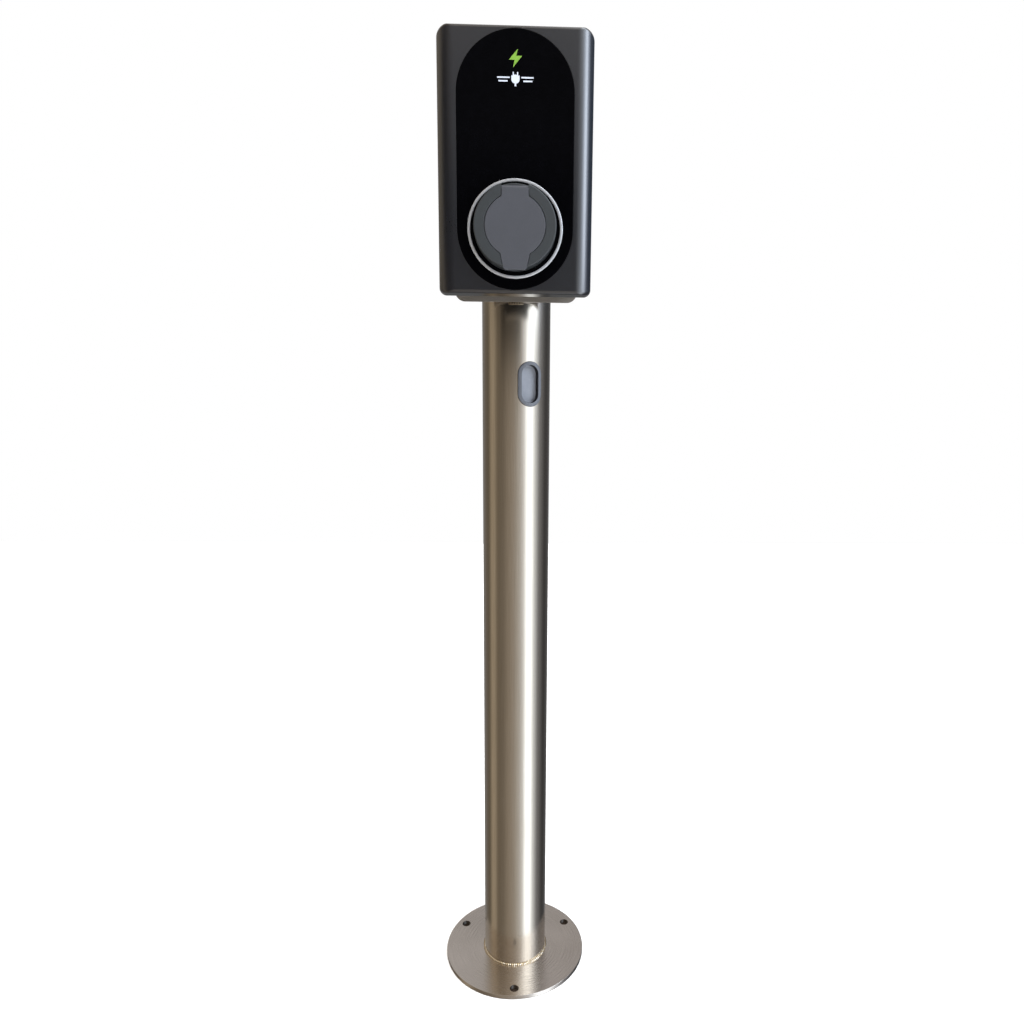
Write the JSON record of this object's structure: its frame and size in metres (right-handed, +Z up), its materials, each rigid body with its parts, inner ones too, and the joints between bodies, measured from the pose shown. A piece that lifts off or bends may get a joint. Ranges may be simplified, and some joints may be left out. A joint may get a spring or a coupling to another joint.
{
  "type": "ev charging post",
  "caption": "Freestanding electric car charging post: a wall charger with a hinged-lid Type 2 socket on a round stainless tube and a drilled base plate.",
  "frame": {"origin": "on the ground at the tube's axis, the centre of the anchor hole circle on the base plate's underside", "axes": "+Z up along the tube, -Y towards the charger's front, +X to the right of someone facing the post's front"},
  "size_m": [0.23, 0.3025, 1.36],
  "materials": {
    "post_steel": "brushed along the tube, warm grey",
    "plate_steel": "brushed",
    "weld_steel": "cleaned weld bead",
    "black_plastic": "moulded black plastic",
    "grey_plug": "moulded grey plastic",
    "zinc_steel": "zinc plated",
    "bright_steel": "drawn",
    "case_plastic": "textured black plastic",
    "black_rubber": "soft black rubber",
    "cover_grey": "satin dark grey",
    "fascia_gloss": "piano black gloss",
    "ring_silver": "satin silver",
    "mark_green": "printed",
    "mark_white": "printed",
    "board_green": "solder resist",
    "lamp_clear": "clear moulding",
    "socket_grey": "fine moulded texture",
    "contact_metal": "plated",
    "lid_grey": "fine moulded texture",
    "relay_white": "moulded",
    "module_black": "potted module",
    "can_tin": "tinned can",
    "terminal_grey": "moulded",
    "gland_grey": "moulded",
    "lead_brown": "insulation",
    "lead_green": "insulation",
    "lead_red": "insulation",
    "lead_black": "insulation"
  },
  "bodies": {
    "post": {"post_tube": "post_steel", "base_flange": "plate_steel", "base_weld": "weld_steel", "tube_cap": "black_plastic", "access_plug": "grey_plug", "head_plate": "plate_steel", "head_welds": "weld_steel", "wall_bracket": "zinc_steel", "bracket_screws": "bright_steel", "rear_case": "case_plastic", "case_screws": "bright_steel", "case_seal": "black_rubber", "front_cover": "cover_grey", "cover_screws": "bright_steel", "fascia_panel": "fascia_gloss", "trim_ring": "ring_silver", "fascia_bolt_mark": "mark_green", "fascia_plug_mark": "mark_white", "indicator_board": "board_green", "indicator_lamps": "lamp_clear", "socket_body": "socket_grey", "socket_gasket": "black_rubber", "socket_screws": "bright_steel", "contact_carrier": "black_plastic", "power_contacts": "contact_metal", "signal_contacts": "contact_metal", "hinge_pin": "bright_steel", "lid_spring": "bright_steel", "lock_actuator": "black_plastic", "main_board": "board_green", "board_pillars": "black_plastic", "board_screws": "bright_steel", "power_relays": "relay_white", "supply_module": "module_black", "leakage_sensor": "module_black", "capacitors": "module_black", "radio_module": "can_tin", "board_connectors": "relay_white", "terminal_block": "terminal_grey", "terminal_screws": "bright_steel", "cable_gland": "gland_grey", "gland_nut": "gland_grey", "supply_leads": "lead_brown", "earth_lead": "lead_green", "power_leads": "lead_brown", "signal_leads": "lead_red", "lock_lead": "lead_black", "breather_vent": "black_plastic", "rating_plate": "can_tin"},
    "lid": {"socket_lid": "lid_grey", "lid_seal": "black_rubber"},
    "lock_bolt": {"lock_pin": "bright_steel"}
  },
  "joints": [
    {"name": "lid_hinge", "type": "hinge", "parent": "post", "child": "lid", "pos_m": [0, -0.184, 1.17], "axis": [-1, 0, 0], "range_deg": [0, 110], "stiffness_Nm_per_rad": 0.015, "springref_deg": -68.75},
    {"name": "lock_slide", "type": "slide", "parent": "post", "child": "lock_bolt", "axis": [0, 0, -1], "range_m": [0, 0.005]}
  ]
}
